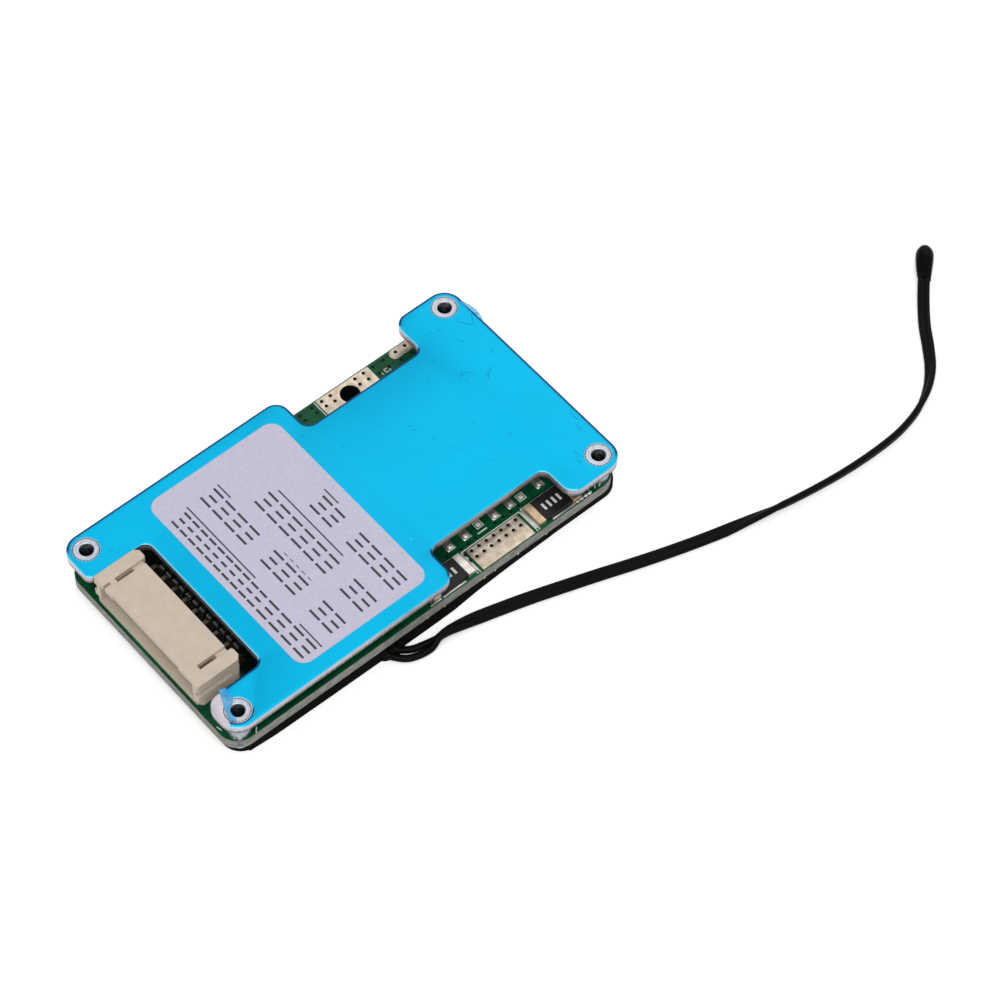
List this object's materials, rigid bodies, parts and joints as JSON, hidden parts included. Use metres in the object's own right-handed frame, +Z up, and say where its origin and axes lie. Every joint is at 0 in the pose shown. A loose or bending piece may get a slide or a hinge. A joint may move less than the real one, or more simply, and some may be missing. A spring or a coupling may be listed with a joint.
{
  "type": "battery management board",
  "caption": "Battery protection circuit board under a film-covered aluminium heat plate on threaded standoffs, with a side-entry cell socket and a temperature sensor on a twin lead.",
  "frame": {"origin": "on the resting surface, below the middle of the heat plate", "axes": "+Z up, square to the board; +X along the board, from the cell socket to the power end; +Y to the back, away from the edge where the sensor lead comes out"},
  "size_m": [0.1136, 0.0503, 0.0074],
  "materials": {
    "aluminium": "satin, milled edges",
    "film": "glossy thin film with fine scratches",
    "label_paper": "matt",
    "standoff_steel": "turned",
    "board": "glossy solder mask over glass laminate",
    "solder": "tinned, slightly matt",
    "socket_nylon": "moulded, matt",
    "pin_tin": "tinned",
    "transistor_resin": "moulded resin",
    "thermal_silicone": "soft pad",
    "shunt_body": "matt coated body with tinned ends",
    "resistor_body": "coated body with tinned ends",
    "foam": "closed-cell foam",
    "chip_resin": "moulded resin with tinned leads",
    "capacitor_ceramic": "ceramic with tinned ends",
    "lead_jacket": "satin",
    "bead_resin": "dipped resin"
  },
  "bodies": {
    "root": {"heat_plate": "aluminium", "protective_film": "film", "label": "label_paper", "standoff_front_left": "standoff_steel", "standoff_front_right": "standoff_steel", "standoff_back_left": "standoff_steel", "standoff_back_right": "standoff_steel", "circuit_board": "board", "front_pad": "solder", "back_pad": "solder", "charge_pad": "solder", "socket_housing": "socket_nylon", "socket_pins": "pin_tin", "pin_solder": "solder", "transistor_front_1": "transistor_resin", "transistor_front_2": "transistor_resin", "transistor_front_3": "transistor_resin", "transistor_back_1": "transistor_resin", "transistor_back_2": "transistor_resin", "transistor_back_3": "transistor_resin", "thermal_pad": "thermal_silicone", "shunt_left": "shunt_body", "shunt_right": "shunt_body", "filter_resistors": "resistor_body", "insulating_pad": "foam", "control_chip": "chip_resin", "balance_transistors": "chip_resin", "balance_resistors": "resistor_body", "cell_capacitors": "capacitor_ceramic", "lead_solder": "solder", "sensor_lead_a": "lead_jacket", "sensor_lead_b": "lead_jacket", "sensor_cord": "lead_jacket", "sensor_bead": "bead_resin"}
  },
  "joints": []
}
